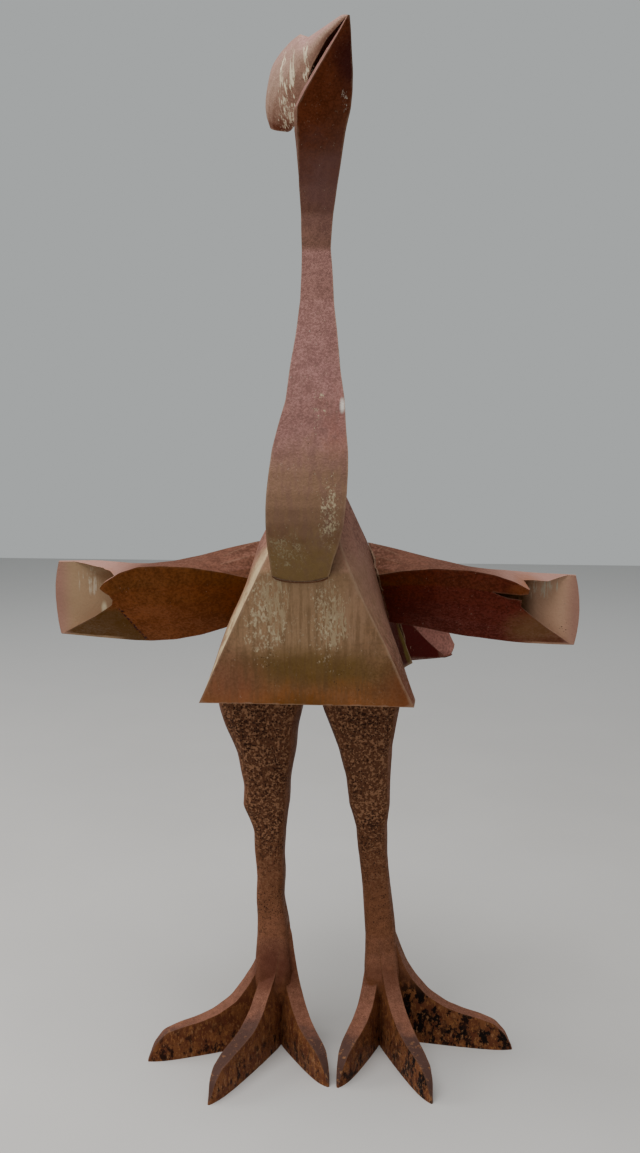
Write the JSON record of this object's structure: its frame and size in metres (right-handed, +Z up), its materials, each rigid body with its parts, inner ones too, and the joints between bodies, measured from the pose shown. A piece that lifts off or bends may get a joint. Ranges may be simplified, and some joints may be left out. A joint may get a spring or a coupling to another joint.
{
  "type": "ostrich sculpture",
  "caption": "Garden sculpture of a standing ostrich with a long curved neck, a raised beak, outstretched wings and spread toes, folded and welded from weathered sheet steel.",
  "frame": {"origin": "middle of the footprint of the whole figure, on the ground under the soles", "axes": "+Z up, the breast faces -Y, +X towards the tip of the bird's left wing"},
  "size_m": [1.073, 0.572, 1.9781],
  "materials": {
    "body_shell": "weathered rusty sheet steel with pale mineral spots",
    "neck_and_lower_beak": "weathered rusty sheet steel",
    "head_plate": "weathered rusty sheet steel with pale streaks",
    "wing_right": "weathered rusty sheet steel",
    "wing_left": "weathered rusty sheet steel",
    "tail": "weathered rusty sheet steel",
    "leg_right": "deeply pitted rusty steel",
    "leg_left": "deeply pitted rusty steel"
  },
  "bodies": {
    "root": {"body_shell": "body_shell", "neck_and_lower_beak": "neck_and_lower_beak", "head_plate": "head_plate", "wing_right": "wing_right", "wing_left": "wing_left", "tail": "tail", "leg_right": "leg_right", "leg_left": "leg_left"}
  },
  "joints": []
}
